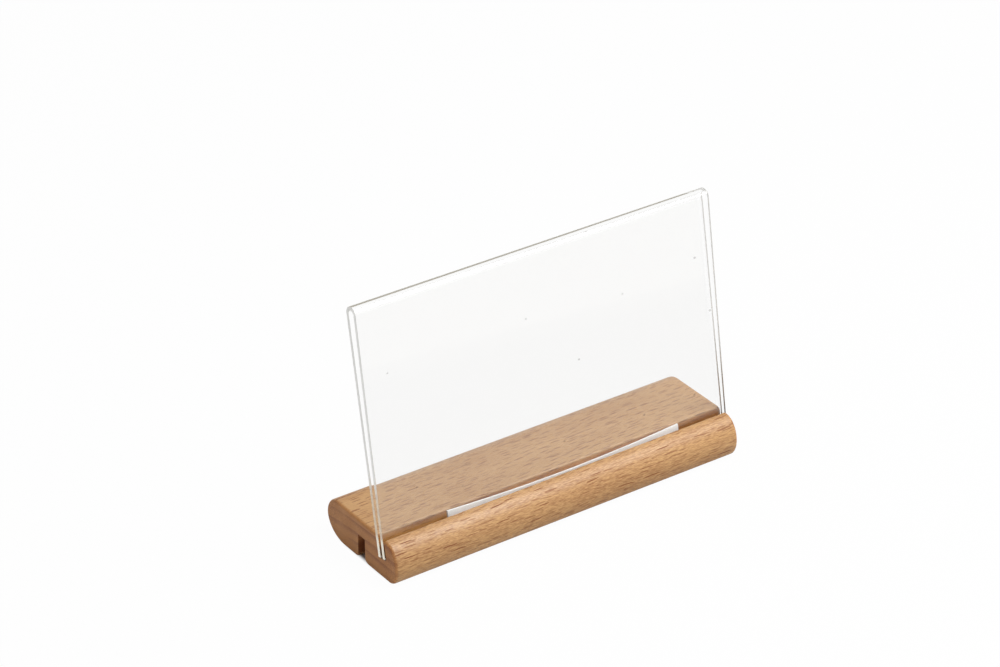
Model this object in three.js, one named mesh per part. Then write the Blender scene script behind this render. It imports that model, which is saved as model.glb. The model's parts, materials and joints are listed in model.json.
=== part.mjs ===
// Table sign holder: a clear folded sleeve that stands in a slanted slot along a rounded wooden base.
// Millimetres, +Z up. The length runs along X, the front faces -Y, and the origin lies on the table
// under the middle of the base.
import * as THREE from 'three';

// Wooden base: one bar with the same section all along its length
const BASE_LENGTH = 150;
const BASE_DEPTH = 44.8;
const BASE_HEIGHT = 16.5;
const BACK_ROUND = 7.3; // radius from the flat top down to the rearmost line
const HEEL_DEPTH = 11.2; // how far the lower back curve sweeps under
const NOSE_HEIGHT = 7; // height of the foremost line above the table
const TOE_DEPTH = 5.2; // how far the lower front curve sweeps under
const LIP_DEPTH = 7.8; // wood left in front of the slot
const LIP_DROP = 0.3; // the lip ends this much below the flat top
const LIP_EASE = 0.45; // softened edge of the lip along the slot
const END_EASE = 1.2; // softened edge around both end faces

// Slot in the top that the sleeve stands in
const SLOT_LEAN = THREE.MathUtils.degToRad(10.2); // leans back from upright
const SLOT_DEPTH = 7.8; // along the lip's wall
const SLOT_PLAY = 0.3; // room on each side of the sleeve where it enters the wood
const MOUTH_EASE = 0.9; // softened edge where the flat top meets the slot

// Groove along the underside, square to the table
const GROOVE_WIDTH = 4.4;
const GROOVE_DEPTH = 10;
const GROOVE_SETBACK = 22.2; // from the foremost line to the middle of the groove
const GROOVE_EASE = 2; // rounded lower edges

// Acrylic sleeve: one sheet folded over at the top, its leaves closing in towards the foot
const SLEEVE_HEIGHT = 94.2;
const SLEEVE_OVERHANG = 0.25; // past each end of the base
const SHEET_THICKNESS = 1.5;
const FOOT_GAP = 1.2; // between the leaves at the foot
const FOLD_GAP = 3; // between the leaves under the fold
const SEAT_GAP = 0.3; // between the floor of the slot and what stands on it

// Spacer strip between the leaves at the foot
const STRIP_LENGTH = 101.4;
const STRIP_HEIGHT = 8.9; // at its ends
const STRIP_DIP = 1.7; // how far its top edge dips in the middle
const STRIP_SHIFT = 3.5; // it stands this far right of the middle
const STRIP_PLAY = 0.2; // room between the strip and each leaf

// Smoothness of the curves
const CURVE_STEPS = 10;
const EASE_STEPS = 3;
const SAME_POINT = 1e-6;

// The leaves run straight from the foot to the outside of the fold, which they meet smoothly.
const footHalf = FOOT_GAP / 2 + SHEET_THICKNESS;
const foldRadius = FOLD_GAP / 2 + SHEET_THICKNESS;
const foldCentre = SLEEVE_HEIGHT - foldRadius;
const leafLean = Math.asin(foldRadius / Math.hypot(foldCentre, footHalf)) - Math.atan2(footHalf, foldCentre);

// The slot clears the sleeve's thickness at the mouth.
const slotWidth = 2 * (footHalf + SLOT_DEPTH * Math.tan(leafLean) + SLOT_PLAY);

// Directions and places in the section, as (Y, Z)
const slotUp = new THREE.Vector2(Math.sin(SLOT_LEAN), Math.cos(SLOT_LEAN));
const slotBack = new THREE.Vector2(Math.cos(SLOT_LEAN), -Math.sin(SLOT_LEAN));
const front = -BASE_DEPTH / 2;
const back = BASE_DEPTH / 2;
const lipEdge = new THREE.Vector2(front + LIP_DEPTH, BASE_HEIGHT - LIP_DROP);
const slotFloor = lipEdge
  .clone()
  .addScaledVector(slotUp, -SLOT_DEPTH)
  .addScaledVector(slotBack, slotWidth / 2);

// A point of the slot: so far behind the middle of its floor, and so far up from the floor.
function inSlot(behind, above) {
  return slotFloor.clone().addScaledVector(slotBack, behind).addScaledVector(slotUp, above);
}

// The point of a slot wall at a given height above the table.
function wallAt(behind, height) {
  const foot = inSlot(behind, 0);
  return inSlot(behind, (height - foot.y) / slotUp.y);
}

// Section of the bar with its outside drawn in by the inset. The slot and the groove run straight through.
function baseSection(inset) {
  const quarter = Math.PI / 2;
  const backHeight = BASE_HEIGHT - BACK_ROUND;
  const heel = back - HEEL_DEPTH;
  const toe = front + TOE_DEPTH;
  const grooveMiddle = front + GROOVE_SETBACK;
  const grooveHalf = GROOVE_WIDTH / 2;
  const footEase = grooveHalf + GROOVE_EASE;
  const footRise = GROOVE_EASE - inset;
  const slotHalf = slotWidth / 2;
  const floorBack = inSlot(slotHalf, 0);
  const floorFront = inSlot(-slotHalf, 0);
  const mouthEase = wallAt(slotHalf + MOUTH_EASE, BASE_HEIGHT - inset - MOUTH_EASE);
  const lipEase = wallAt(-slotHalf - LIP_EASE, lipEdge.y - inset - LIP_EASE);
  const lipDepth = lipEase.x - front - inset;
  const lipRise = lipEdge.y - inset - NOSE_HEIGHT;

  const section = new THREE.Shape();
  // front foot, groove and back foot
  section.moveTo(toe, inset);
  section.absellipse(grooveMiddle - footEase, GROOVE_EASE, GROOVE_EASE, footRise, -quarter, 0);
  section.lineTo(grooveMiddle - grooveHalf, GROOVE_DEPTH);
  section.lineTo(grooveMiddle + grooveHalf, GROOVE_DEPTH);
  section.absellipse(grooveMiddle + footEase, GROOVE_EASE, GROOVE_EASE, footRise, 2 * quarter, 3 * quarter);
  // rounded back
  section.absellipse(heel, backHeight, HEEL_DEPTH - inset, backHeight - inset, -quarter, 0);
  section.absarc(back - BACK_ROUND, backHeight, BACK_ROUND - inset, 0, quarter);
  // flat top and slot
  section.absarc(mouthEase.x, mouthEase.y, MOUTH_EASE, quarter, 2 * quarter - SLOT_LEAN);
  section.lineTo(floorBack.x, floorBack.y);
  section.lineTo(floorFront.x, floorFront.y);
  section.absarc(lipEase.x, lipEase.y, LIP_EASE, -SLOT_LEAN, quarter);
  // rounded lip and toe
  section.absellipse(lipEase.x, NOSE_HEIGHT, lipDepth, lipRise, quarter, 2 * quarter);
  section.absellipse(toe, NOSE_HEIGHT, TOE_DEPTH - inset, NOSE_HEIGHT - inset, 2 * quarter, 3 * quarter);
  return section;
}

function sleeveSection() {
  const innerRadius = FOLD_GAP / 2;
  const innerFoot = footHalf - SHEET_THICKNESS / Math.cos(leafLean);
  const section = new THREE.Shape();
  section.moveTo(footHalf, 0);
  section.absarc(0, foldCentre, foldRadius, -leafLean, Math.PI + leafLean);
  section.lineTo(-footHalf, 0);
  section.lineTo(-innerFoot, 0);
  section.absarc(0, foldCentre, innerRadius, Math.PI + leafLean, -leafLean, true);
  section.lineTo(innerFoot, 0);
  return section;
}

function stripOutline() {
  const half = STRIP_LENGTH / 2;
  const outline = new THREE.Shape();
  outline.moveTo(-half, 0);
  outline.lineTo(half, 0);
  outline.lineTo(half, STRIP_HEIGHT);
  outline.quadraticCurveTo(0, STRIP_HEIGHT - 2 * STRIP_DIP, -half, STRIP_HEIGHT);
  return outline;
}

// A section's points, with one point where two curves meet.
function outlinePoints(section) {
  const points = section.getPoints(CURVE_STEPS);
  return points.filter((point, i) => point.distanceTo(points.at(i - 1)) > SAME_POINT);
}

// Skins a row of (Y, Z) outlines with equal counts of points, placed along X, and closes both ends.
function loft(stations) {
  const count = stations[0].points.length;
  const positions = stations.flatMap(({ x, points }) => points.flatMap((point) => [x, point.x, point.y]));
  const triangles = [];
  for (let ring = 0; ring + 1 < stations.length; ring++) {
    for (let i = 0; i < count; i++) {
      const here = ring * count + i;
      const next = ring * count + ((i + 1) % count);
      triangles.push(here, next, next + count, here, next + count, here + count);
    }
  }
  const last = (stations.length - 1) * count;
  for (const [a, b, c] of THREE.ShapeUtils.triangulateShape(stations[0].points, [])) {
    triangles.push(a, c, b, last + a, last + b, last + c);
  }
  const geometry = new THREE.BufferGeometry();
  geometry.setAttribute('position', new THREE.Float32BufferAttribute(positions, 3));
  geometry.setIndex(triangles);
  geometry.computeVertexNormals();
  return geometry;
}

// Stations from end to end of the bar: the section swells out of each end face round the eased edge.
function easedBar() {
  const halfBar = [];
  for (let step = 0; step <= EASE_STEPS; step++) {
    const turn = (step / EASE_STEPS) * (Math.PI / 2);
    const inset = END_EASE * (1 - Math.sin(turn));
    const x = BASE_LENGTH / 2 - END_EASE * (1 - Math.cos(turn));
    halfBar.push({ x, points: outlinePoints(baseSection(inset)) });
  }
  const otherHalf = halfBar.map(({ x, points }) => ({ x: -x, points }));
  return loft([...otherHalf, ...halfBar.reverse()]);
}

function namedMesh(name, geometry, look) {
  const mesh = new THREE.Mesh(geometry, new THREE.MeshStandardMaterial(look));
  mesh.name = name;
  return mesh;
}

function woodenBase() {
  return namedMesh('wooden_base', easedBar(), { color: 0xc39160, roughness: 0.55, metalness: 0 });
}

function acrylicSleeve() {
  const points = outlinePoints(sleeveSection());
  const end = BASE_LENGTH / 2 + SLEEVE_OVERHANG;
  const sheet = loft([{ x: -end, points }, { x: end, points }]);
  const clear = { color: 0xf4f4f5, roughness: 0.05, metalness: 0, transparent: true, opacity: 0.25 };
  return namedMesh('acrylic_sleeve', sheet, clear);
}

function spacerStrip() {
  const thickness = FOOT_GAP - 2 * STRIP_PLAY;
  const geometry = new THREE.ExtrudeGeometry(new THREE.Shape(outlinePoints(stripOutline())), {
    depth: thickness,
    bevelEnabled: false,
  });
  geometry.translate(0, 0, -thickness / 2);
  geometry.rotateX(Math.PI / 2);
  const mesh = namedMesh('spacer_strip', geometry, { color: 0xf2f1ec, roughness: 0.7, metalness: 0 });
  mesh.position.x = STRIP_SHIFT;
  return mesh;
}

// The sleeve and the strip stand on the floor of the slot and lean with it.
const seat = inSlot(0, SEAT_GAP);
const seated = new THREE.Group();
seated.position.set(0, seat.x, seat.y);
seated.rotation.x = -SLOT_LEAN;
seated.add(acrylicSleeve(), spacerStrip());

const signHolder = new THREE.Group();
signHolder.add(woodenBase(), seated);

export default signHolder;
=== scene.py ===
"""Table sign holder: a clear folded sleeve standing in a slanted slot along an oiled beech bar.

Everything is in metres, in the frame's own axes: the length runs along X, the front faces -Y.
"""

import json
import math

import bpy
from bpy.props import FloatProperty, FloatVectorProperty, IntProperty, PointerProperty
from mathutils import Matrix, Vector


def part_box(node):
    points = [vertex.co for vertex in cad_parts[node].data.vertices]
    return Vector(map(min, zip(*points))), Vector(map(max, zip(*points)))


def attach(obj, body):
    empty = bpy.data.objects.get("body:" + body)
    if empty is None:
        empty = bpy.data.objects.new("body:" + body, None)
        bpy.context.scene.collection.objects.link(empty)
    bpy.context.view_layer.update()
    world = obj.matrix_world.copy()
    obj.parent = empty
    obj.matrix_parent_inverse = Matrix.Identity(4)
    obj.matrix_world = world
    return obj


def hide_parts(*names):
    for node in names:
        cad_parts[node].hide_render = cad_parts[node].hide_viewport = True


bl_info = {
    "name": "Table Sign Holder",
    "version": (1, 0, 0),
    "blender": (4, 5, 0),
    "location": "View3D > Sidebar > Sign Holder",
    "description": "Makes a clear folded card sleeve that stands in a rounded beech bar",
    "category": "Add Mesh",
}

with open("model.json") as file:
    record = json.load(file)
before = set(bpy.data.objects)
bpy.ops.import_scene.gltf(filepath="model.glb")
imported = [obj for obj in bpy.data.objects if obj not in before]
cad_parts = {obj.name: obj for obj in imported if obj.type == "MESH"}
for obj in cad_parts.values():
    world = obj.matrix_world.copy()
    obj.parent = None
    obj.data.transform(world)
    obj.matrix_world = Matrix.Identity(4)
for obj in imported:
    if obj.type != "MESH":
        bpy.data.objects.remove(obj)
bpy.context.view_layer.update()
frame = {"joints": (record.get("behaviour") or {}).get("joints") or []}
BAR_LOW, BAR_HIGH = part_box("wooden_base")
SLEEVE_LOW, SLEEVE_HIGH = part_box("acrylic_sleeve")
STRIP_LOW, STRIP_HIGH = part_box("spacer_strip")
LIFT_AXIS = next(joint["axis"] for joint in frame["joints"] if joint["name"] == "sleeve_lift")

MM = 0.001
QUARTER = math.pi / 2
GRAIN_MAP = "grain"

# Facets of the curves
ROUND_STEPS = 24  # along a large round of the bar
GROOVE_STEPS = 10  # along a lower edge of the groove
EASE_STEPS = 6  # along a softened edge of the bar
BEVEL_STEPS = 2  # along a softened edge of the sheet and of the strip
DIP_STEPS = 32  # along the strip's top edge
SHARP_TURN = math.radians(40)  # edges that turn further than this are sharp

# Flecks: one dash to a cell, in a share of the cells, with sizes along and across
SHORT_DASHES = {"cell": (6 * MM, 1.6 * MM), "dash": (5.4 * MM, 0.44 * MM), "share": 0.95}
LONG_DASHES = {"cell": (12 * MM, 1.7 * MM), "dash": (8 * MM, 0.5 * MM), "share": 0.38}
KNOTS = {"cell": (19 * MM, 7 * MM), "dash": (3.2 * MM, 2 * MM), "share": 0.35}
DUST = {"cell": (24 * MM, 24 * MM), "dash": (1.3 * MM, 1 * MM), "share": 0.4}
DASH_HALVES = (0.3, 0.5)  # of the given size, from the shortest to the longest dash
DASH_DEPTHS = (0.6, 1.0)  # from the palest to the darkest dash
DASH_EDGE = 0.2  # soft border, as a share of half the dash

# What each thing adds to the beech's tone, which goes from pale wood at 0 to deep wood at 1
PLAIN_TONE = 0.33
CLOUD_TONE = 0.2
STREAK_TONE = 0.16
PORE_TONE = 0.75
ROUNDS_TONE = 0.05
RING_TONE = 0.1
END_RING_TONE = 0.3  # on the end faces, beyond the rings' tone elsewhere
FIBRE_SHARE = 0.4  # of streaks and pores on the flat top, and twice that on the rounds

# How strongly the flecks and the rings show
SHORT_STRENGTH = 0.95
SHORT_LOSS = 0.4  # on the rounds
SAWN_STRENGTH = 0.5
LONG_STRENGTH = (0.75, 1.0)  # where the wood is clear and where it is clouded
KNOT_STRENGTH = 0.5
RING_STRENGTH = (0.15, 1.3)  # of a faint and of a vigorous ring

# Where looks change from one to the other
CLOUDED = (0.1, 0.7)  # clouds: from clear to clouded wood
VIGOUR = (0.3, 0.65)  # noise: from faint to vigorous rings
ROUNDS = (13 * MM, 17 * MM)  # along Y from the middle: from the flat top to the rounds
LOW_ROUNDS = (9 * MM, 6 * MM)  # heights: from the upper to the lower part of the rounds
SLOT_SIDE = (-6 * MM, -8 * MM)  # along Y: from the groove to the slot
SLOT_FOOT = (13 * MM, 10 * MM)  # heights: from the slot's mouth to its foot, where painted shade darkens the walls
END_SLOT = (-2 * MM, 1 * MM)  # above the flat top: from the painted reflection of the slot's wood in the cut ends to that of the wood over it
END_CLEAR = (12 * MM, 24 * MM)  # above the flat top: from the painted reflection of the wood in the cut ends to plain white ends
END_DARK_REFLECTION = (4 * MM, 38 * MM)  # above the flat top: from cut ends with a painted reflection of the dark wood to bright ones, seen through the sheet
FLOOR_ENDS = (-2 * MM, 0.0)  # past the bar's ends: from the dark floor to the white one
FLOOR_SIDES = (-14 * MM, -10 * MM)  # past the bar's front and back: from the dark floor to the white one
PAINTED_SHADE_ENDS = (-5 * MM, 10 * MM)  # past the bar's ends: from the floor with painted shade to the plain one
PAINTED_SHADE_SIDES = (5 * MM, 90 * MM)  # past the bar's front and back: from the floor with painted shade to the plain one
OVERHEAD = (0.15, 0.5)  # upward share of a direction: from the horizon to overhead
MOTTLE = (0.3, 0.7)  # noise: from none of the mottle to all of it

# Ray depths between two bounces
FIRST_HAND = 1.5  # below this, the camera sees a reflection at first hand
CAUGHT = 3.5  # above this, light counts as caught between the faces of the sheet


# Properties

def metres(name, description, default):
    """A size in metres."""
    return FloatProperty(
        name=name, description=description, default=default, min=0.0, precision=5, unit="LENGTH"
    )


def radians(name, description, default):
    """An angle in radians."""
    return FloatProperty(name=name, description=description, default=default, unit="ROTATION")


def number(name, description, default):
    """A number that isn't a size or an angle."""
    return FloatProperty(name=name, description=description, default=default, min=0.0)


def colour(name, description, default):
    """A linear colour."""
    return FloatVectorProperty(
        name=name, description=description, default=default, size=3, min=0.0, max=1.0, subtype="COLOR"
    )


def point(name, description, default):
    """A point in the frame."""
    return FloatVectorProperty(name=name, description=description, default=default, subtype="TRANSLATION")


class BarSettings(bpy.types.PropertyGroup):
    """Sizes and colours of the beech bar."""

    length: metres("Length", "From end to end", BAR_HIGH.x - BAR_LOW.x)
    depth: metres("Depth", "From the foremost to the rearmost line", BAR_HIGH.y - BAR_LOW.y)
    height: metres("Height", "Up to the flat top", BAR_HIGH.z - BAR_LOW.z)
    back_round: metres("Back round", "Radius from the flat top down to the rearmost line", 7.3 * MM)
    heel_depth: metres("Heel depth", "How far the lower back curve sweeps under", 11.2 * MM)
    nose_height: metres("Nose height", "Height of the foremost line", 7 * MM)
    toe_depth: metres("Toe depth", "How far the lower front curve sweeps under", 5.2 * MM)
    lip_depth: metres("Lip depth", "Wood in front of the slot", 7.8 * MM)
    lip_drop: metres("Lip drop", "How far the lip ends below the flat top", 0.3 * MM)
    lip_ease: metres("Lip ease", "Softened edge of the lip along the slot", 0.45 * MM)
    end_ease: metres("End ease", "Softened edge round both end faces", 1.2 * MM)
    mouth_ease: metres("Mouth ease", "Softened edge where the flat top meets the slot", 0.9 * MM)
    slot_lean: radians("Slot lean", "How far the slot leans back", math.atan2(LIFT_AXIS[1], LIFT_AXIS[2]))
    slot_depth: metres("Slot depth", "Along the lip's wall", 7.8 * MM)
    slot_play: metres("Slot play", "Room on each side of the sleeve at the mouth", 0.3 * MM)
    groove_width: metres("Groove width", "Groove along the underside", 4.4 * MM)
    groove_depth: metres("Groove depth", "Groove along the underside", 10 * MM)
    groove_setback: metres("Groove setback", "From the foremost line to the groove's middle", 22.2 * MM)
    groove_ease: metres("Groove ease", "Rounded lower edges of the groove", 2 * MM)
    pale: colour("Pale wood", "Early wood between the rings", (0.655, 0.38, 0.15))
    deep: colour("Deep wood", "Late wood and long streaks", (0.31, 0.127, 0.034))
    fleck: colour("Fleck", "Short dashes along the grain", (0.2, 0.05, 0.0))
    end_shade: colour("End shade", "Darkens the end faces", (1.0, 0.766, 0.496))
    # The sawn wood's own tint with painted shade on the slot's walls and in the groove, and painted shade
    # alone at the slot's foot
    slot_tint_and_painted_shade: colour("Slot shade", "Darkens the walls of the slot", (1.0, 0.79, 0.57))
    slot_foot_painted_shade: colour("Slot foot shade", "Darkens the slot's foot further", (0.3, 0.24, 0.16))
    groove_tint_and_painted_shade: colour("Groove shade", "Darkens the walls of the groove", (0.78, 0.54, 0.44))
    ring_spacing: metres("Ring spacing", "From one growth ring to the next", 4.2 * MM)
    ring_waver: metres("Ring waver", "How far the rings stray along the bar", 2 * MM)
    pith_forward: metres("Pith forward", "The rings' middle, in front of the bar's own", 14 * MM)
    pith_depth: metres("Pith depth", "The rings' middle, below the table", 240 * MM)


class SleeveSettings(bpy.types.PropertyGroup):
    """Sizes and looks of the folded acrylic sheet."""

    length: metres("Length", "From end to end", SLEEVE_HIGH.x - SLEEVE_LOW.x)
    height: metres("Height", "From the foot to the top of the fold", 94.2 * MM)
    thickness: metres("Sheet thickness", "Thickness of the acrylic", 1.5 * MM)
    foot_gap: metres("Foot gap", "Between the leaves at the foot", 1.2 * MM)
    fold_gap: metres("Fold gap", "Between the leaves under the fold", 3 * MM)
    seat_gap: metres("Seat gap", "Between the slot's floor and the foot", 0.3 * MM)
    edge_ease: metres("Edge ease", "Softened edges of the cut sheet", 0.12 * MM)
    fold_steps: IntProperty(name="Fold steps", description="Facets round the fold", default=56, min=8)
    tint: colour("Tint", "What the sheet lets through", (0.987, 0.987, 0.986))
    edge_tint: colour("Edge tint", "What is left of light caught between the faces", (0.72, 0.7, 0.65))
    speck: colour("Speck", "Dust on the front", (0.5, 0.49, 0.48))
    end_white: colour("End white", "Cut ends of the sheet", (0.95, 0.95, 0.92))
    # Painted reflections: the wood's colour painted into the cut ends near it, creamy down in the slot
    end_wood_painted_reflection: colour("End wood", "Cut ends just above the wood, which shows in them", (0.77, 0.63, 0.47))
    end_slot_painted_reflection: colour("End cream", "Cut ends down in the slot", (0.96, 0.9, 0.76))
    # Painted reflection: the dark of the wood and its shade, painted into the cut ends seen from within the
    # sheet
    end_shade: colour("End shade", "Cut ends near the wood, seen through the sheet", (0.36, 0.32, 0.27))
    end_cloud: number("End cloud", "What the clouds in the cut ends leave of their white", 0.93)
    # Painted glow: emission in the cut ends stands in for light that gathers in the sheet
    end_painted_glow: number("End glow", "Strength of the light that gathers in the cut ends", 0.3)
    dull_painted_glow: number("Dull glow", "Share of that light above the slot", 0.6)
    smudge: number("Smudge", "Roughness where the sheet is smudged", 0.015)
    refraction: number("Refraction", "Index of refraction", 1.49)

    @property
    def foot_half(self):
        """From the middle plane to the outside of a leaf at the foot."""
        return self.foot_gap / 2 + self.thickness

    @property
    def fold_radius(self):
        """Outer radius of the fold."""
        return self.fold_gap / 2 + self.thickness

    @property
    def fold_centre(self):
        """Height of the fold's centre above the foot."""
        return self.height - self.fold_radius

    @property
    def leaf_lean(self):
        """How far each leaf splays from the middle plane."""
        reach = math.hypot(self.fold_centre, self.foot_half)
        return math.asin(self.fold_radius / reach) - math.atan2(self.foot_half, self.fold_centre)


class StripSettings(bpy.types.PropertyGroup):
    """Sizes and colour of the spacer strip."""

    length: metres("Length", "From end to end", STRIP_HIGH.x - STRIP_LOW.x)
    shift: FloatProperty(
        name="Shift",
        description="How far right of the middle it stands",
        default=(STRIP_LOW.x + STRIP_HIGH.x) / 2,
        unit="LENGTH",
    )
    height: metres("Height", "At its ends", 8.9 * MM)
    dip: metres("Dip", "How far the top edge dips in the middle", 1.7 * MM)
    thickness: metres("Thickness", "Thickness of the strip", 0.8 * MM)
    edge_ease: metres("Edge ease", "Softened edges of the strip", 0.1 * MM)
    white: colour("White", "Colour of the strip", (0.98, 0.965, 0.945))
    cloud: number("Cloud", "What the clouds in the strip leave of its white", 0.96)


class StageSettings(bpy.types.PropertyGroup):
    """Camera, floor, room and lamps."""

    azimuth: radians("Azimuth", "Camera's turn about the upright", math.radians(-34.98))
    elevation: radians("Elevation", "Camera's height above the horizon", math.radians(30.13))
    distance: metres("Distance", "From the camera to the point it looks at", 1285.8 * MM)
    target: point("Target", "The point that the camera looks at", (6.15 * MM, 31.3 * MM, 50.26 * MM))
    lens: number("Lens", "Focal length in millimetres", 128.14)
    near_clip: metres("Near clip", "The camera shows nothing nearer than this", 10 * MM)
    floor_size: metres("Floor size", "Side of the floor", 30.0)
    floor_grey: number("Floor grey", "What the floor sends back of the light", 0.7)
    floor_white: number("Floor white", "Share of plain white in the floor as it is seen", 0.975)
    # Painted shade on the floor, seen only in the bar's gloss next to it
    painted_shade_grey: number("Dim grey", "The floor's grey where the bar's gloss shows it dimmed", 0.25)
    painted_shade_share: number("Dim share", "How far the bar's gloss dims the floor next to it", 0.8)
    room_light: number("Room light", "Light from all round", 0.28)
    overhead_loss: number("Overhead loss", "How much dimmer gloss shows the room overhead", 0.65)
    key_place: point("Key place", "Where the key lamp hangs", (0.32, -0.37, 0.84))
    key_power: number("Key power", "Watts of the key lamp", 9.3)
    fill_place: point("Fill place", "Where the fill lamp stands", (0.3, -0.85, 0.25))
    fill_power: number("Fill power", "Watts of the fill lamp", 0.6)
    lamp_size: metres("Lamp size", "Side of each lamp", 0.6)
    lamp_target: point("Lamp target", "The point that the lamps face", (0.0, 0.0, 30 * MM))


class SignHolderSettings(bpy.types.PropertyGroup):
    """All settings of the sign holder, under the names of the operators that use them."""

    bar: PointerProperty(type=BarSettings)
    sleeve: PointerProperty(type=SleeveSettings)
    strip: PointerProperty(type=StripSettings)
    stage: PointerProperty(type=StageSettings)


# Nodes

def put(tree, socket, value):
    """Links an input to another node's output, or gives it a plain value. Colours come without alpha."""
    if isinstance(value, bpy.types.NodeSocket):
        tree.links.new(value, socket)
    elif socket.type == "RGBA":
        socket.default_value = (*value, 1.0)
    else:
        socket.default_value = value


def feed(tree, node, inputs):
    """Fills a node's inputs, given by name or number."""
    for key, value in inputs.items():
        put(tree, node.inputs[key], value)


def add(tree, kind, inputs, **settings):
    """A new node with its settings and inputs."""
    node = tree.nodes.new(kind)
    for name, value in settings.items():
        setattr(node, name, value)
    feed(tree, node, inputs)
    return node


def result_of(tree, kind, inputs, **settings):
    """The first output of a new node."""
    return add(tree, kind, inputs, **settings).outputs[0]


def maths(tree, operation, *values, clamp=False):
    """The result of a sum on plain values or outputs."""
    inputs = dict(enumerate(values))
    return result_of(tree, "ShaderNodeMath", inputs, operation=operation, use_clamp=clamp)


def product(tree, first, *others):
    """Plain values or outputs multiplied together."""
    for other in others:
        first = maths(tree, "MULTIPLY", first, other)
    return first


def scaled(tree, value, weight, base):
    """A base with a value added to it by its weight."""
    return maths(tree, "MULTIPLY_ADD", value, weight, base)


def vector_maths(tree, operation, *values):
    """The vector that a sum on vectors gives."""
    return result_of(tree, "ShaderNodeVectorMath", dict(enumerate(values)), operation=operation)


def measure(tree, operation, *values):
    """The number that a sum on vectors gives."""
    return add(tree, "ShaderNodeVectorMath", dict(enumerate(values)), operation=operation).outputs["Value"]


def stretched(tree, vector, scales):
    """A position scaled by a different factor along each axis."""
    return vector_maths(tree, "MULTIPLY", vector, scales)


def axes(tree, vector):
    """The X, Y and Z of a vector."""
    return add(tree, "ShaderNodeSeparateXYZ", {0: vector}).outputs


def combined(tree, x=0.0, y=0.0, z=0.0):
    """The vector of an X, a Y and a Z."""
    return result_of(tree, "ShaderNodeCombineXYZ", {"X": x, "Y": y, "Z": z})


def ramp(tree, value, low, high, to_low=0.0, to_high=1.0):
    """A smooth step from to_low at low to to_high at high."""
    inputs = {"Value": value, "From Min": low, "From Max": high, "To Min": to_low, "To Max": to_high}
    return result_of(tree, "ShaderNodeMapRange", inputs, interpolation_type="SMOOTHSTEP")


def blend(tree, factor, first, second, mode="MIX"):
    """Two colours mixed by a factor."""
    inputs = {"Factor": factor, "A": first, "B": second}
    node = add(tree, "ShaderNodeMix", {}, data_type="RGBA", blend_type=mode)
    for socket in node.inputs:
        if socket.enabled and socket.name in inputs:
            put(tree, socket, inputs[socket.name])
    return next(socket for socket in node.outputs if socket.enabled)


def grey(level):
    """A colour with no hue."""
    return (level, level, level)


def noise(tree, vector, scale, detail):
    """Smooth noise round a half."""
    return result_of(tree, "ShaderNodeTexNoise", {"Vector": vector, "Scale": scale, "Detail": detail})


def bump(tree, height, strength, distance):
    """Normals bent by a height."""
    return result_of(tree, "ShaderNodeBump", {"Height": height, "Strength": strength, "Distance": distance})


def light_path(tree):
    """What kind of ray meets the surface."""
    return tree.nodes.new("ShaderNodeLightPath").outputs


def new_group(name, kind, inputs, outputs):
    """A node group with its sockets, given by name and type, its inputs inside and its output node."""
    tree = bpy.data.node_groups.new(name, kind)
    for direction, sockets in (("INPUT", inputs), ("OUTPUT", outputs)):
        for label, socket_type in sockets.items():
            tree.interface.new_socket(name=label, in_out=direction, socket_type=socket_type)
    return tree, tree.nodes.new("NodeGroupInput").outputs, tree.nodes.new("NodeGroupOutput")


def shared_group(name, make):
    """The node group of that name, made when it is first asked for."""
    return bpy.data.node_groups.get(name) or make(name)


def soft_mottle(name):
    """Node group: slow cloudy variation, drawn out along X by its stretch."""
    inputs = {"Vector": "NodeSocketVector", "Size": "NodeSocketFloat", "Stretch": "NodeSocketFloat"}
    group, given, result = new_group(name, "ShaderNodeTree", inputs, {"Value": "NodeSocketFloat"})
    along = maths(group, "DIVIDE", 1.0, given["Stretch"])
    drawn_out = stretched(group, given["Vector"], combined(group, along, 1.0, 1.0))
    clouds = noise(group, drawn_out, maths(group, "DIVIDE", 1.0, given["Size"]), detail=4.0)
    feed(group, result, {"Value": ramp(group, clouds, *MOTTLE)})
    return group


def ray_flecks(name):
    """Node group: spindle-shaped dashes along U, one to a cell, some longer and darker than others."""
    inputs = dict.fromkeys(("Place", "Cell", "Dash"), "NodeSocketVector")
    inputs["Share"] = "NodeSocketFloat"
    group, given, result = new_group(name, "ShaderNodeTree", inputs, {"Mask": "NodeSocketFloat"})
    place = vector_maths(group, "DIVIDE", given["Place"], given["Cell"])
    unit_cells = {"Vector": place, "Scale": 1.0}
    cells = add(group, "ShaderNodeTexVoronoi", unit_cells, voronoi_dimensions="2D").outputs
    long_draw, share_draw, dark_draw = add(group, "ShaderNodeSeparateColor", {0: cells["Color"]}).outputs
    offset = vector_maths(group, "SUBTRACT", place, cells["Position"])
    offset = vector_maths(group, "MULTIPLY", offset, given["Cell"])
    reach = measure(group, "LENGTH", vector_maths(group, "DIVIDE", offset, given["Dash"]))
    half = ramp(group, long_draw, 0.0, 1.0, *DASH_HALVES)
    inside = maths(group, "SUBTRACT", 1.0, maths(group, "DIVIDE", reach, half), clamp=True)
    present = maths(group, "LESS_THAN", share_draw, given["Share"])
    depth = product(group, present, ramp(group, dark_draw, 0.0, 1.0, *DASH_DEPTHS))
    feed(group, result, {"Mask": product(group, ramp(group, inside, 0.0, DASH_EDGE), depth)})
    return group


def mottle(tree, position, size, stretch=1.0):
    """Soft mottle from 0 to 1."""
    group = shared_group("Soft Mottle", soft_mottle)
    inputs = {"Vector": position, "Size": size, "Stretch": stretch}
    return result_of(tree, "ShaderNodeGroup", inputs, node_tree=group)


def flecks(tree, place, cell, dash, share):
    """The mask of a kind of flecks."""
    group = shared_group("Ray Flecks", ray_flecks)
    inputs = {"Place": place, "Cell": (*cell, 1.0), "Dash": (*dash, 1.0), "Share": share}
    return result_of(tree, "ShaderNodeGroup", inputs, node_tree=group)


# The slot and what stands in it

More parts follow.
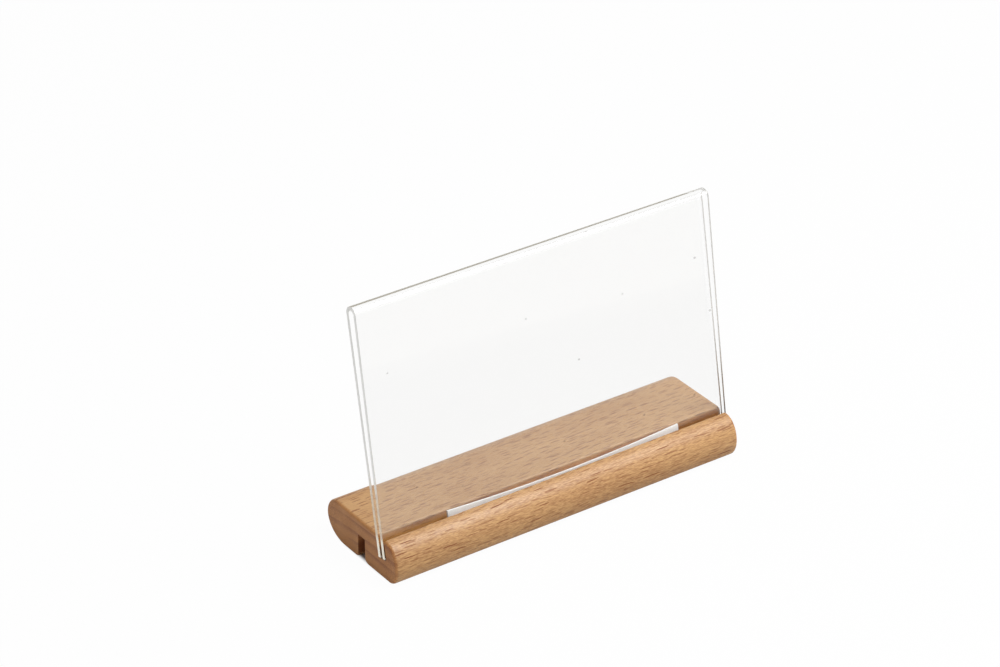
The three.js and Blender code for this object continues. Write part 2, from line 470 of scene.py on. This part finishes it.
class Slot:
    """The slanted slot in the bar's section, as (y, z): its directions, its width and its points."""

    def __init__(self, bar, sleeve):
        self.up = Vector((math.sin(bar.slot_lean), math.cos(bar.slot_lean)))
        self.back = Vector((math.cos(bar.slot_lean), -math.sin(bar.slot_lean)))
        self.half = sleeve.foot_half + bar.slot_depth * math.tan(sleeve.leaf_lean) + bar.slot_play
        self.lip = Vector((bar.lip_depth - bar.depth / 2, bar.height - bar.lip_drop))
        self.floor = self.lip - self.up * bar.slot_depth + self.back * self.half

    def at(self, behind, above):
        """The point so far behind the middle of the floor and so far up from it."""
        return self.floor + self.back * behind + self.up * above

    def wall_at(self, behind, height):
        """The point of a wall at a height above the table."""
        return self.at(behind, (height - self.at(behind, 0).y) / self.up.y)


def seated(bar, sleeve):
    """Places what stands in the slot: it leans with the slot, just above the slot's floor."""
    seat = Slot(bar, sleeve).at(0, sleeve.seat_gap)
    return Matrix.Translation((0, *seat)) @ Matrix.Rotation(-bar.slot_lean, 4, "X")


# Materials

def new_material(name):
    """A node material, its tree, its Principled shader and the piece's own coordinates."""
    material = bpy.data.materials.new(name)
    material.use_nodes = True
    tree = material.node_tree
    position = tree.nodes.new("ShaderNodeTexCoord").outputs["Object"]
    return material, tree, tree.nodes["Principled BSDF"], position


def mix_surface(tree, factor, first, second):
    """A mix of two shaders' outputs."""
    return result_of(tree, "ShaderNodeMixShader", {0: factor, 1: first, 2: second})


def growth_rings(tree, position, bar):
    """Dark late-wood lines of broad, nearly flat rings that waver along the bar."""
    palest = 0.1  # place in a ring, from 0 at its inside to 1
    darkest = 0.88
    waver = noise(tree, stretched(tree, position, (0.12, 1.0, 1.0)), scale=60.0, detail=2.0)
    offset = vector_maths(tree, "SUBTRACT", position, (0.0, -bar.pith_forward, -bar.pith_depth))
    radius = measure(tree, "LENGTH", stretched(tree, offset, (0.0, 1.0, 1.0)))
    wavered = scaled(tree, waver, bar.ring_waver, radius)
    phase = maths(tree, "FRACT", maths(tree, "DIVIDE", wavered, bar.ring_spacing))
    rise = ramp(tree, phase, palest, darkest)
    fall = ramp(tree, phase, darkest, 1.0, 1.0, 0.0)
    line = maths(tree, "POWER", product(tree, rise, fall), 2.0)
    vigour = noise(tree, stretched(tree, position, (0.05, 0.15, 1.0)), scale=220.0, detail=1.0)
    return product(tree, line, ramp(tree, vigour, *VIGOUR, *RING_STRENGTH))


def grain_place(tree):
    """A spot on the unrolled skin: U along the grain and V round the section, as the grain wanders."""
    slow_bends = (70.0, 3 * MM)  # scale of the noise, and how far it moves the grain
    fine_waves = (420.0, 0.5 * MM)
    unrolled = result_of(tree, "ShaderNodeUVMap", {}, uv_map=GRAIN_MAP)
    drift = 0.0
    for scale, reach in (slow_bends, fine_waves):
        wander = noise(tree, stretched(tree, unrolled, (0.35, 1.0, 0.0)), scale, detail=2.0)
        drift = scaled(tree, maths(tree, "SUBTRACT", wander, 0.5), reach, drift)
    return vector_maths(tree, "ADD", unrolled, combined(tree, y=drift))


def beech_tone(tree, clouds, streaks, pores, rounds):
    """The tone of the wood without its rings. Streaks and pores lighten it as much as they darken it."""
    balance = -(STREAK_TONE + PORE_TONE) / 2
    fibre = scaled(tree, streaks, STREAK_TONE, scaled(tree, pores, PORE_TONE, balance))
    fibre = product(tree, fibre, scaled(tree, rounds, FIBRE_SHARE, FIBRE_SHARE))
    tone = scaled(tree, clouds, CLOUD_TONE, maths(tree, "ADD", fibre, PLAIN_TONE))
    return scaled(tree, rounds, ROUNDS_TONE, tone)


def beech_flecks(tree, clouds, rounds, low_rounds):
    """Short dashes all over, longer ones on the rounds, and small knots low on them."""
    place = grain_place(tree)
    short = flecks(tree, place, **SHORT_DASHES)
    short = product(tree, short, scaled(tree, rounds, -SHORT_LOSS, SHORT_STRENGTH))
    long = flecks(tree, place, **LONG_DASHES)
    long = product(tree, long, ramp(tree, clouds, *CLOUDED, *LONG_STRENGTH), rounds)
    knots = product(tree, flecks(tree, place, **KNOTS), KNOT_STRENGTH, low_rounds)
    return maths(tree, "MAXIMUM", maths(tree, "MAXIMUM", short, long), knots)


def oiled_beech(bar):
    """Satin beech: pale wood with fine fibre and dark flecks, and ring lines on its darker end faces."""
    material, tree, shader, position = new_material("Oiled Beech")
    along, across, up = axes(tree, position)
    half = bar.length / 2
    margin = 0.1 * MM  # so that the whole of each end face counts as end
    end = ramp(tree, maths(tree, "ABSOLUTE", along), half - bar.end_ease, half - margin)
    rounds = ramp(tree, maths(tree, "ABSOLUTE", across), *ROUNDS)
    low_rounds = product(tree, rounds, ramp(tree, up, *LOW_ROUNDS))
    clouds = mottle(tree, position, size=9 * MM, stretch=5.0)
    streaks = mottle(tree, position, size=0.7 * MM, stretch=12.0)
    pores = mottle(tree, position, size=0.3 * MM, stretch=6.0)

    tone = beech_tone(tree, clouds, streaks, pores, rounds)
    rings = growth_rings(tree, position, bar)
    ring_tone = scaled(tree, end, END_RING_TONE, RING_TONE)
    tone = maths(tree, "MULTIPLY_ADD", rings, ring_tone, tone, clamp=True)
    dashes = beech_flecks(tree, clouds, rounds, low_rounds)
    dashes = product(tree, dashes, maths(tree, "SUBTRACT", 1.0, end))
    wood = blend(tree, tone, bar.pale, bar.deep)
    wood = blend(tree, dashes, wood, bar.fleck)

    roughness = scaled(tree, clouds, weight=0.08, base=0.4)
    roughness = scaled(tree, dashes, weight=0.2, base=roughness)
    roughness = scaled(tree, end, weight=0.15, base=roughness)
    pore_height = 0.4  # where a fleck is 1 deep
    height = maths(tree, "SUBTRACT", product(tree, pores, pore_height), dashes)
    looks = {
        "Base Color": blend(tree, end, wood, bar.end_shade, "MULTIPLY"),
        "Roughness": roughness,
        "Specular IOR Level": 0.7,
        "Normal": bump(tree, height, strength=0.6, distance=0.12 * MM),
    }
    feed(tree, shader, looks)
    return material


def sawn_beech(bar):
    """Unfinished beech in the slot and the groove: matt, with fine saw marks. Its colour carries painted
    shade as well as its own tint: darker in the groove, darkest at the slot's foot.
    """
    material, tree, shader, position = new_material("Sawn Beech")
    _, across, up = axes(tree, position)
    in_slot = ramp(tree, across, *SLOT_SIDE)
    # painted shade, deepening down to the slot's foot
    painted_foot_shade = product(tree, in_slot, ramp(tree, up, *SLOT_FOOT))
    clouds = mottle(tree, position, size=5 * MM, stretch=4.0)
    # painted shade with the sawn wood's own tint, darker in the groove than in the slot
    shade = blend(tree, in_slot, bar.groove_tint_and_painted_shade, bar.slot_tint_and_painted_shade)
    wood = blend(tree, 1.0, blend(tree, clouds, bar.pale, bar.deep), shade, "MULTIPLY")
    wood = blend(tree, painted_foot_shade, wood, bar.slot_foot_painted_shade, "MULTIPLY")
    dashes = product(tree, flecks(tree, grain_place(tree), **SHORT_DASHES), SAWN_STRENGTH)
    saw_marks = noise(tree, stretched(tree, position, (1.0, 0.1, 0.1)), scale=1400.0, detail=2.0)
    looks = {
        "Base Color": blend(tree, dashes, wood, bar.fleck),
        "Roughness": scaled(tree, clouds, weight=0.1, base=0.7),
        "Normal": bump(tree, saw_marks, strength=0.4, distance=0.06 * MM),
    }
    feed(tree, shader, looks)
    return material


def foremost_face(tree, position, bar, sleeve):
    """1 on the outside of the sleeve's front leaf."""
    slot = Slot(bar, sleeve)
    offset = vector_maths(tree, "SUBTRACT", position, (0.0, *slot.floor))
    behind = measure(tree, "DOT_PRODUCT", offset, (0.0, *slot.back))
    skin = 0.2 * sleeve.thickness
    return maths(tree, "LESS_THAN", behind, skin - sleeve.foot_half)


def clear_acrylic(bar, sleeve):
    """Clear polished acrylic with a few specks of dust on its front. Lamps reach through it to what it
    covers, and light that is caught between its faces comes out again, dimmed."""
    material, tree, shader, position = new_material("Clear Acrylic")
    along, _, up = axes(tree, position)
    specks = flecks(tree, combined(tree, along, up), **DUST)
    specks = product(tree, specks, foremost_face(tree, position, bar, sleeve))
    smudges = mottle(tree, position, size=25 * MM)
    looks = {
        "Base Color": blend(tree, specks, sleeve.tint, sleeve.speck),
        "Roughness": product(tree, smudges, sleeve.smudge),
        "IOR": sleeve.refraction,
        "Transmission Weight": 1.0,
    }
    feed(tree, shader, looks)

    path = light_path(tree)
    caught = maths(tree, "GREATER_THAN", path["Ray Depth"], CAUGHT)
    let_out = result_of(tree, "ShaderNodeBsdfTransparent", {"Color": sleeve.edge_tint})
    sheet = mix_surface(tree, caught, shader.outputs[0], let_out)
    passes = maths(tree, "MAXIMUM", path["Is Shadow Ray"], path["Is Diffuse Ray"])
    clear = result_of(tree, "ShaderNodeBsdfTransparent", {"Color": sleeve.tint})
    feed(tree, tree.nodes["Material Output"], {"Surface": mix_surface(tree, passes, sheet, clear)})
    return material


def cut_acrylic(bar, sleeve):
    """The sheet's cut ends: cloudy white, with a painted glow that stands in for light from the whole sheet
    gathering in them. Near their foot they carry a painted reflection of the wood's colour, and of its dark
    where they are seen through the sheet."""
    material, tree, shader, position = new_material("Cut Acrylic")
    above = maths(tree, "SUBTRACT", axes(tree, position)["Z"], bar.height)
    in_slot = ramp(tree, above, *END_SLOT, 1.0, 0.0)
    # painted reflection of the wood in the cut ends, creamy down in the slot
    low = blend(tree, in_slot, sleeve.end_wood_painted_reflection, sleeve.end_slot_painted_reflection)
    clouds = mottle(tree, position, size=2 * MM)
    white = Vector(sleeve.end_white)
    cloudy = blend(tree, clouds, white, sleeve.end_cloud * white)
    look = blend(tree, ramp(tree, above, *END_CLEAR), low, cloudy)
    # painted glow in the colour of the end, dulled above the slot
    glow = blend(tree, maths(tree, "SUBTRACT", 1.0, in_slot), look, grey(sleeve.dull_painted_glow), "MULTIPLY")
    from_within = tree.nodes.new("ShaderNodeNewGeometry").outputs["Backfacing"]
    # painted reflection of the dark wood and its shade, in cut ends seen through the sheet, fading upward
    dark = product(tree, from_within, ramp(tree, above, *END_DARK_REFLECTION, 1.0, 0.0))
    looks = {
        "Base Color": blend(tree, dark, look, sleeve.end_shade),
        "Roughness": scaled(tree, clouds, weight=0.15, base=0.2),
        "IOR": sleeve.refraction,
        "Transmission Weight": 0.1,
        # painted glow, none where the painted dark reflection shows
        "Emission Color": blend(tree, dark, glow, grey(0.0)),
        "Emission Strength": sleeve.end_painted_glow,
    }
    feed(tree, shader, looks)
    return material


def white_strip(strip):
    """Matt white strip, faintly cloudy."""
    material, tree, shader, position = new_material("White Strip")
    clouds = mottle(tree, position, size=4 * MM, stretch=3.0)
    tooth = noise(tree, position, scale=5000.0, detail=2.0)
    white = Vector(strip.white)
    looks = {
        "Base Color": blend(tree, clouds, white, strip.cloud * white),
        "Roughness": scaled(tree, clouds, weight=0.1, base=0.5),
        "Normal": bump(tree, tooth, strength=0.15, distance=0.03 * MM),
    }
    feed(tree, shader, looks)
    return material


def seen_directly(tree):
    """1 for rays that show the background: from the camera, in gloss and through glass."""
    path = light_path(tree)
    gloss = maths(tree, "MAXIMUM", path["Is Glossy Ray"], path["Is Transmission Ray"])
    return maths(tree, "MAXIMUM", path["Is Camera Ray"], gloss)


def first_gloss(tree):
    """1 for reflections that the camera sees at first hand."""
    path = light_path(tree)
    return product(tree, path["Is Glossy Ray"], maths(tree, "LESS_THAN", path["Ray Depth"], FIRST_HAND))


def white_floor(stage):
    """Pale floor that shows as white, keeps a trace of the shadow, is dark right under the bar and carries
    painted shade where the bar's gloss shows it beside the bar."""
    material, tree, shader, position = new_material("White Floor")
    along, across, _ = axes(tree, position)
    past_ends = maths(tree, "SUBTRACT", maths(tree, "ABSOLUTE", along), BAR_HIGH.x)
    past_sides = maths(tree, "SUBTRACT", maths(tree, "ABSOLUTE", across), BAR_HIGH.y)
    outside = (ramp(tree, past_ends, *FLOOR_ENDS), ramp(tree, past_sides, *FLOOR_SIDES))
    beside = maths(tree, "MAXIMUM", *outside)
    alongside = ramp(tree, past_ends, *PAINTED_SHADE_ENDS, 1.0, 0.0)
    near = product(tree, alongside, ramp(tree, past_sides, *PAINTED_SHADE_SIDES, stage.painted_shade_share, 0.0))
    # painted shade, seen only in first-hand gloss near the bar
    dimmed = product(tree, first_gloss(tree), near)
    looks = {
        "Base Color": blend(tree, dimmed, grey(stage.floor_grey), grey(stage.painted_shade_grey)),
        "Roughness": 0.9,
    }
    feed(tree, shader, looks)

    white_share = product(tree, beside, maths(tree, "SUBTRACT", stage.floor_white, dimmed))
    lit = product(tree, seen_directly(tree), white_share)
    white = result_of(tree, "ShaderNodeEmission", {"Color": grey(1.0), "Strength": 1.0})
    surface = mix_surface(tree, lit, shader.outputs[0], white)
    feed(tree, tree.nodes["Material Output"], {"Surface": surface})
    return material


# Shapes

def new_object(name, data):
    """A new object in the scene."""
    thing = bpy.data.objects.new(name, data)
    bpy.context.scene.collection.objects.link(thing)
    return thing


def dress(piece, body, node):
    """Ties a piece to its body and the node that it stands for."""
    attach(piece, body)
    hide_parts(node)


def arc(centre, radii, start, end, steps=ROUND_STEPS):
    """Points along an elliptical arc, its ends included."""
    turns = [start + (end - start) * step / steps for step in range(steps + 1)]
    return [Vector((centre[0] + radii[0] * math.cos(t), centre[1] + radii[1] * math.sin(t))) for t in turns]


def eased(before, corner, after, radius):
    """Points of the arc that rounds a corner between two straight runs."""
    first = (before - corner).normalized()
    second = (after - corner).normalized()
    half_angle = first.angle(second) / 2
    centre = corner + (first + second).normalized() * (radius / math.sin(half_angle))
    reach = radius / math.tan(half_angle)
    start = (corner + first * reach - centre).normalized()
    end = (corner + second * reach - centre).normalized()
    return [centre + start.slerp(end, step / EASE_STEPS) * radius for step in range(EASE_STEPS + 1)]


def bar_section(bar, slot, inset):
    """The bar's outline, anticlockwise as seen from +X, with its outside drawn in by the inset. It comes in
    runs of points, each with whether the saw left it bare."""
    front = -bar.depth / 2
    back = bar.depth / 2
    toe = front + bar.toe_depth
    heel = back - bar.heel_depth
    back_height = bar.height - bar.back_round
    groove = front + bar.groove_setback
    groove_half = bar.groove_width / 2
    foot_ease = groove_half + bar.groove_ease
    foot_radii = (bar.groove_ease, bar.groove_ease - inset)
    mouth_back = slot.wall_at(slot.half, bar.height - inset)
    floor_back = slot.at(slot.half, 0)
    floor_front = slot.at(-slot.half, 0)
    lip = slot.wall_at(-slot.half, slot.lip.y - inset)
    nose = bar.nose_height

    front_foot = arc((groove - foot_ease, bar.groove_ease), foot_radii, -QUARTER, 0, GROOVE_STEPS)
    groove_top = [Vector((groove + side * groove_half, bar.groove_depth)) for side in (-1, 1)]
    rear = arc((groove + foot_ease, bar.groove_ease), foot_radii, 2 * QUARTER, 3 * QUARTER, GROOVE_STEPS)
    rear += arc((heel, back_height), (bar.heel_depth - inset, back_height - inset), -QUARTER, 0)
    rear += arc((back - bar.back_round, back_height), (bar.back_round - inset,) * 2, 0, QUARTER)[1:]
    rear += eased(rear[-1], mouth_back, floor_back, bar.mouth_ease)
    slot_floor = [floor_back, floor_front]
    fore = eased(floor_front, lip, lip + Vector((-1, 0)), bar.lip_ease)
    top = fore[-1]
    fore += arc((top.x, nose), (top.x - front - inset, top.y - nose), QUARTER, 2 * QUARTER)[1:]
    fore += arc((toe, nose), (bar.toe_depth - inset, nose - inset), 2 * QUARTER, 3 * QUARTER)[1:]
    return [(front_foot, False), (groove_top, True), (rear, False), (slot_floor, True), (fore, False)]


def bar_mesh(bar, sleeve):
    """A closed skin over sections along the bar, which swell out of each end face round its eased edge."""
    slot = Slot(bar, sleeve)
    stations = []
    for step in range(EASE_STEPS + 1):
        turn = QUARTER * step / EASE_STEPS
        inset = bar.end_ease * (1 - math.sin(turn))
        x = bar.length / 2 - bar.end_ease * (1 - math.cos(turn))
        stations.append((x, bar_section(bar, slot, inset)))
    stations = [(-x, section) for x, section in stations] + stations[::-1]

    bare = [is_bare for points, is_bare in stations[0][1] for _ in points]
    count = len(bare)
    vertices = [(x, *spot) for x, section in stations for points, _ in section for spot in points]
    faces = [list(range(count))[::-1]]
    sawn = [False]
    for first in range(0, len(vertices) - count, count):
        second = first + count
        for here in range(count):
            after = (here + 1) % count
            faces.append([first + here, first + after, second + after, second + here])
            sawn.append(bare[here] or bare[after])
    faces.append(list(range(len(vertices) - count, len(vertices))))
    sawn.append(False)

    mesh = bpy.data.meshes.new("beech_bar")
    mesh.from_pydata(vertices, [], faces)
    unroll(mesh, count)
    for polygon, is_sawn in zip(mesh.polygons, sawn):
        polygon.material_index = int(is_sawn)
        polygon.use_smooth = len(polygon.vertices) == 4
    mesh.set_sharp_from_angle(angle=SHARP_TURN)
    return mesh


def unroll(mesh, count):
    """Maps the skin for the grain: U along the bar and V round the outline of an end face, in metres."""
    outline = [vertex.co for vertex in mesh.vertices[-count:]]
    girth = [0.0]
    for here in range(count):
        girth.append(girth[-1] + (outline[(here + 1) % count] - outline[here]).length)
    layer = mesh.uv_layers.new(name=GRAIN_MAP)
    for polygon in mesh.polygons:
        places = [vertex % count for vertex in polygon.vertices]
        closing = max(places) - min(places) == count - 1 and len(places) == 4
        for loop, vertex, place in zip(polygon.loop_indices, polygon.vertices, places):
            around = count if closing and place == 0 else place
            layer.uv[loop].vector = (mesh.vertices[vertex].co.x, girth[around])


def folded_sleeve_tree():
    """Geometry nodes for the sleeve: a flat strip swept along a path that rises, folds and comes down."""
    measures = ("Length", "Thickness", "Foot Half", "Fold Radius", "Fold Height", "Leaf Lean")
    inputs = dict.fromkeys(measures, "NodeSocketFloat")
    inputs["Fold Steps"] = "NodeSocketInt"
    inputs.update(dict.fromkeys(("Material", "End Material"), "NodeSocketMaterial"))
    outputs = {"Geometry": "NodeSocketGeometry"}
    tree, given, result = new_group("Folded Sleeve", "GeometryNodeTree", inputs, outputs)

    # The arc has a spare point past each end of the fold, which moves down to the foot of its leaf.
    lean = given["Leaf Lean"]
    around = scaled(tree, lean, 2.0, math.pi)
    step = maths(tree, "DIVIDE", around, given["Fold Steps"])
    fold = {
        "Resolution": maths(tree, "ADD", given["Fold Steps"], 3.0),
        "Radius": given["Fold Radius"],
        "Start Angle": product(tree, maths(tree, "ADD", lean, step), -1.0),
        "Sweep Angle": scaled(tree, step, 2.0, around),
    }
    path = result_of(tree, "GeometryNodeCurveArc", fold, mode="RADIUS")
    down = product(tree, given["Fold Height"], -1.0)
    for at_start, side in ((1, 1.0), (0, -1.0)):
        end = {"Start Size": at_start, "End Size": 1 - at_start}
        leaf = {
            "Geometry": path,
            "Selection": result_of(tree, "GeometryNodeCurveEndpointSelection", end),
            "Position": combined(tree, product(tree, given["Foot Half"], side), down),
        }
        path = result_of(tree, "GeometryNodeSetPosition", leaf)

    flat = {"Width": given["Thickness"], "Height": given["Length"]}
    profile = result_of(tree, "GeometryNodeCurvePrimitiveQuadrilateral", flat, mode="RECTANGLE")
    swept = {"Curve": path, "Profile Curve": profile, "Fill Caps": True}
    upright = {
        "Geometry": result_of(tree, "GeometryNodeCurveToMesh", swept),
        "Translation": combined(tree, z=given["Fold Height"]),
        "Rotation": (QUARTER, 0.0, QUARTER),
    }
    sheet = result_of(tree, "GeometryNodeTransform", upright)
    sheet = result_of(tree, "GeometryNodeSetShadeSmooth", {"Geometry": sheet, "Shade Smooth": True})
    sheet = result_of(tree, "GeometryNodeSetMaterial", {"Geometry": sheet, "Material": given["Material"]})
    facing = axes(tree, tree.nodes.new("GeometryNodeInputNormal").outputs[0])["X"]
    square_on = 0.9  # how far along X the normal of a cut end points, at the least
    is_end = maths(tree, "GREATER_THAN", maths(tree, "ABSOLUTE", facing), square_on)
    ends = {"Geometry": sheet, "Selection": is_end, "Material": given["End Material"]}
    feed(tree, result, {"Geometry": result_of(tree, "GeometryNodeSetMaterial", ends)})
    return tree


def strip_mesh(strip):
    """The strip standing on its foot, its top edge dipping in the middle."""
    half = strip.length / 2
    outline = [(-half, 0.0), (half, 0.0)]
    for step in range(DIP_STEPS + 1):
        x = half - strip.length * step / DIP_STEPS
        outline.append((x, strip.height - strip.dip * (1 - (x / half) ** 2)))
    count = len(outline)
    sides = (-strip.thickness / 2, strip.thickness / 2)
    vertices = [(strip.shift + x, y, z) for y in sides for x, z in outline]
    faces = [list(range(count)), list(range(count, 2 * count))[::-1]]
    for here in range(count):
        after = (here + 1) % count
        faces.append([after, here, count + here, count + after])
    mesh = bpy.data.meshes.new("spacer_strip")
    mesh.from_pydata(vertices, [], faces)
    mesh.shade_smooth()
    return mesh


def ease_edges(piece, width):
    """Rounds the sharp edges of a piece."""
    bevel = piece.modifiers.new("Ease", "BEVEL")
    bevel.width = width
    bevel.segments = BEVEL_STEPS
    bevel.limit_method = "ANGLE"
    bevel.angle_limit = SHARP_TURN


def settle_mesh(piece, place=Matrix()):
    """Applies the modifiers, with flat faces flat beside their eased edges, and puts the mesh in place."""
    flat_faces = piece.modifiers.new("Flat Faces", "WEIGHTED_NORMAL")
    flat_faces.weight = 90
    flat_faces.keep_sharp = True
    depsgraph = bpy.context.evaluated_depsgraph_get()
    mesh = bpy.data.meshes.new_from_object(piece.evaluated_get(depsgraph), depsgraph=depsgraph)
    piece.modifiers.clear()
    piece.data = mesh
    mesh.transform(place)


# Stage

def aim(thing, place, direction):
    """Puts a camera or a lamp in its place, facing a direction."""
    thing.location = place
    thing.rotation_mode = "QUATERNION"
    thing.rotation_quaternion = direction.to_track_quat("-Z", "Y")


def make_camera(scene, stage):
    """The camera that looks at the target from its azimuth and elevation."""
    turn, rise = stage.azimuth, stage.elevation
    back = Vector((math.sin(turn) * math.cos(rise), -math.cos(turn) * math.cos(rise), math.sin(rise)))
    data = bpy.data.cameras.new("camera")
    data.lens = stage.lens
    data.clip_start = stage.near_clip
    scene.camera = new_object("camera", data)
    aim(scene.camera, Vector(stage.target) + back * stage.distance, -back)


def make_floor(stage):
    """A square floor on which the bar stands."""
    half = stage.floor_size / 2
    corners = [(-half, -half, 0), (half, -half, 0), (half, half, 0), (-half, half, 0)]
    mesh = bpy.data.meshes.new("floor")
    mesh.from_pydata(corners, [], [(0, 1, 2, 3)])
    mesh.materials.append(white_floor(stage))
    floor = new_object("floor", mesh)


def make_world(scene, stage):
    """Soft white light from all round. Gloss shows it white at the horizon and dimmer overhead."""
    world = bpy.data.worlds.new("studio")
    world.use_nodes = True
    tree = world.node_tree
    upward = axes(tree, tree.nodes.new("ShaderNodeTexCoord").outputs["Generated"])["Z"]
    loss = product(tree, first_gloss(tree), ramp(tree, upward, *OVERHEAD, 0.0, stage.overhead_loss))
    seen = maths(tree, "SUBTRACT", seen_directly(tree), loss)
    light = {"Color": grey(1.0), "Strength": maths(tree, "MAXIMUM", seen, stage.room_light)}
    feed(tree, tree.nodes["Background"], light)
    scene.world = world


def make_softbox(stage, name, place, power):
    """A square lamp that faces the lamps' target."""
    data = bpy.data.lights.new(name, "AREA")
    data.size = stage.lamp_size
    data.energy = power
    aim(new_object(name, data), place, Vector(stage.lamp_target) - Vector(place))


# Operators

class SIGNHOLDER_OT_bar(bpy.types.Operator):
    """Make the oiled beech bar"""

    bl_idname = "sign_holder.bar"
    bl_label = "Beech Bar"

    def execute(self, context):
        settings = context.scene.sign_holder
        mesh = bar_mesh(settings.bar, settings.sleeve)
        mesh.materials.append(oiled_beech(settings.bar))
        mesh.materials.append(sawn_beech(settings.bar))
        piece = new_object("oiled_beech_bar", mesh)
        settle_mesh(piece)
        dress(piece, "base", "wooden_base")
        return {"FINISHED"}


class SIGNHOLDER_OT_sleeve(bpy.types.Operator):
    """Make the folded acrylic sleeve"""

    bl_idname = "sign_holder.sleeve"
    bl_label = "Acrylic Sleeve"

    def execute(self, context):
        settings = context.scene.sign_holder
        sleeve = settings.sleeve
        half_sheet = sleeve.thickness / 2
        values = {
            "Length": sleeve.length,
            "Thickness": sleeve.thickness,
            "Foot Half": sleeve.foot_half - half_sheet,
            "Fold Radius": sleeve.fold_radius - half_sheet,
            "Fold Height": sleeve.fold_centre,
            "Leaf Lean": sleeve.leaf_lean,
            "Fold Steps": sleeve.fold_steps,
            "Material": clear_acrylic(settings.bar, sleeve),
            "End Material": cut_acrylic(settings.bar, sleeve),
        }
        piece = new_object("folded_acrylic_sleeve", bpy.data.meshes.new("acrylic_sleeve"))
        folding = piece.modifiers.new("Folded Sleeve", "NODES")
        folding.node_group = folded_sleeve_tree()
        for socket in folding.node_group.interface.items_tree:
            if socket.in_out == "INPUT":
                folding[socket.identifier] = values[socket.name]
        ease_edges(piece, sleeve.edge_ease)
        settle_mesh(piece, seated(settings.bar, sleeve))
        dress(piece, "sleeve", "acrylic_sleeve")
        return {"FINISHED"}


class SIGNHOLDER_OT_strip(bpy.types.Operator):
    """Make the white spacer strip"""

    bl_idname = "sign_holder.strip"
    bl_label = "Spacer Strip"

    def execute(self, context):
        settings = context.scene.sign_holder
        strip = settings.strip
        mesh = strip_mesh(strip)
        mesh.materials.append(white_strip(strip))
        piece = new_object("white_spacer_strip", mesh)
        ease_edges(piece, strip.edge_ease)
        settle_mesh(piece, seated(settings.bar, settings.sleeve))
        dress(piece, "sleeve", "spacer_strip")
        return {"FINISHED"}


class SIGNHOLDER_OT_stage(bpy.types.Operator):
    """Make the camera, the white floor, the room's light and the lamps"""

    bl_idname = "sign_holder.stage"
    bl_label = "Stage"

    def execute(self, context):
        stage = context.scene.sign_holder.stage
        context.scene.view_settings.view_transform = "Standard"
        make_camera(context.scene, stage)
        make_floor(stage)
        make_world(context.scene, stage)
        make_softbox(stage, "key_softbox", stage.key_place, stage.key_power)
        make_softbox(stage, "fill_softbox", stage.fill_place, stage.fill_power)
        return {"FINISHED"}


# Panel

class SIGNHOLDER_PT_panel(bpy.types.Panel):
    """Settings and makers of the sign holder"""

    bl_idname = "SIGNHOLDER_PT_panel"
    bl_label = "Sign Holder"
    bl_space_type = "VIEW_3D"
    bl_region_type = "UI"
    bl_category = "Sign Holder"

    def draw(self, context):
        settings = context.scene.sign_holder
        for part in SignHolderSettings.__annotations__:
            box = self.layout.box()
            group = getattr(settings, part)
            for name in group.__annotations__:
                box.prop(group, name)
            box.operator(f"sign_holder.{part}")


CLASSES = (
    BarSettings,
    SleeveSettings,
    StripSettings,
    StageSettings,
    SignHolderSettings,
    SIGNHOLDER_OT_bar,
    SIGNHOLDER_OT_sleeve,
    SIGNHOLDER_OT_strip,
    SIGNHOLDER_OT_stage,
    SIGNHOLDER_PT_panel,
)


def register():
    for cls in CLASSES:
        bpy.utils.register_class(cls)
    bpy.types.Scene.sign_holder = PointerProperty(type=SignHolderSettings)


def unregister():
    del bpy.types.Scene.sign_holder
    for cls in reversed(CLASSES):
        bpy.utils.unregister_class(cls)


def main():
    register()
    bpy.ops.sign_holder.stage()
    bpy.ops.sign_holder.bar()
    bpy.ops.sign_holder.sleeve()
    bpy.ops.sign_holder.strip()


if __name__ == "__main__":
    main()
